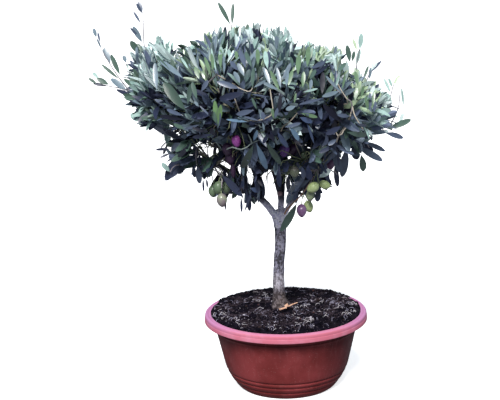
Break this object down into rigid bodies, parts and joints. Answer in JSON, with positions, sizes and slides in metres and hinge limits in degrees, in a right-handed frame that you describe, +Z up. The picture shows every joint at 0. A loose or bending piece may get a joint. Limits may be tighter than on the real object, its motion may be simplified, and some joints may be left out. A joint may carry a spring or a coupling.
{
  "type": "potted olive tree",
  "caption": "Small olive tree with a single trunk, a spreading leafy crown and ripening olives, planted in soil in a wide round plastic bowl.",
  "frame": {"origin": "centre of the flat underside of the bowl, on the bowl's axis", "axes": "+Z up along the bowl's axis; the side shown in the picture faces -Y, and the crown reaches furthest out towards -X"},
  "size_m": [0.6084, 0.5155, 0.7518],
  "materials": {
    "bowl_plastic": "matte moulded plastic, brown-red, faded to pink along the rim",
    "potting_soil": "dark, loose and rough, with pale fibres and chips",
    "olive_bark": "grey mottled bark",
    "olive_leaf": "leathery grey-green leaves, paler below, with green to purple olives"
  },
  "bodies": {
    "root": {"pot": "bowl_plastic", "soil": "potting_soil", "trunk": "olive_bark", "bough_left": "olive_bark", "bough_centre": "olive_bark", "bough_right": "olive_bark", "bough_back": "olive_bark", "limb_low_front_left": "olive_bark", "limb_low_front_right": "olive_bark", "limb_low_back_right": "olive_bark", "limb_low_back_left": "olive_bark", "limb_middle_front_left": "olive_bark", "limb_middle_front_right": "olive_bark", "limb_top_left": "olive_bark", "limb_top_right": "olive_bark", "foliage_low_front_left": "olive_leaf", "foliage_low_front_right": "olive_leaf", "foliage_low_back_right": "olive_leaf", "foliage_low_back_left": "olive_leaf", "foliage_middle_left": "olive_leaf", "foliage_middle_front_left": "olive_leaf", "foliage_middle_front_right": "olive_leaf", "foliage_middle_right": "olive_leaf", "foliage_middle_back": "olive_leaf", "foliage_top_left": "olive_leaf", "foliage_top_right": "olive_leaf", "foliage_heart_middle": "olive_leaf"}
  },
  "joints": []
}
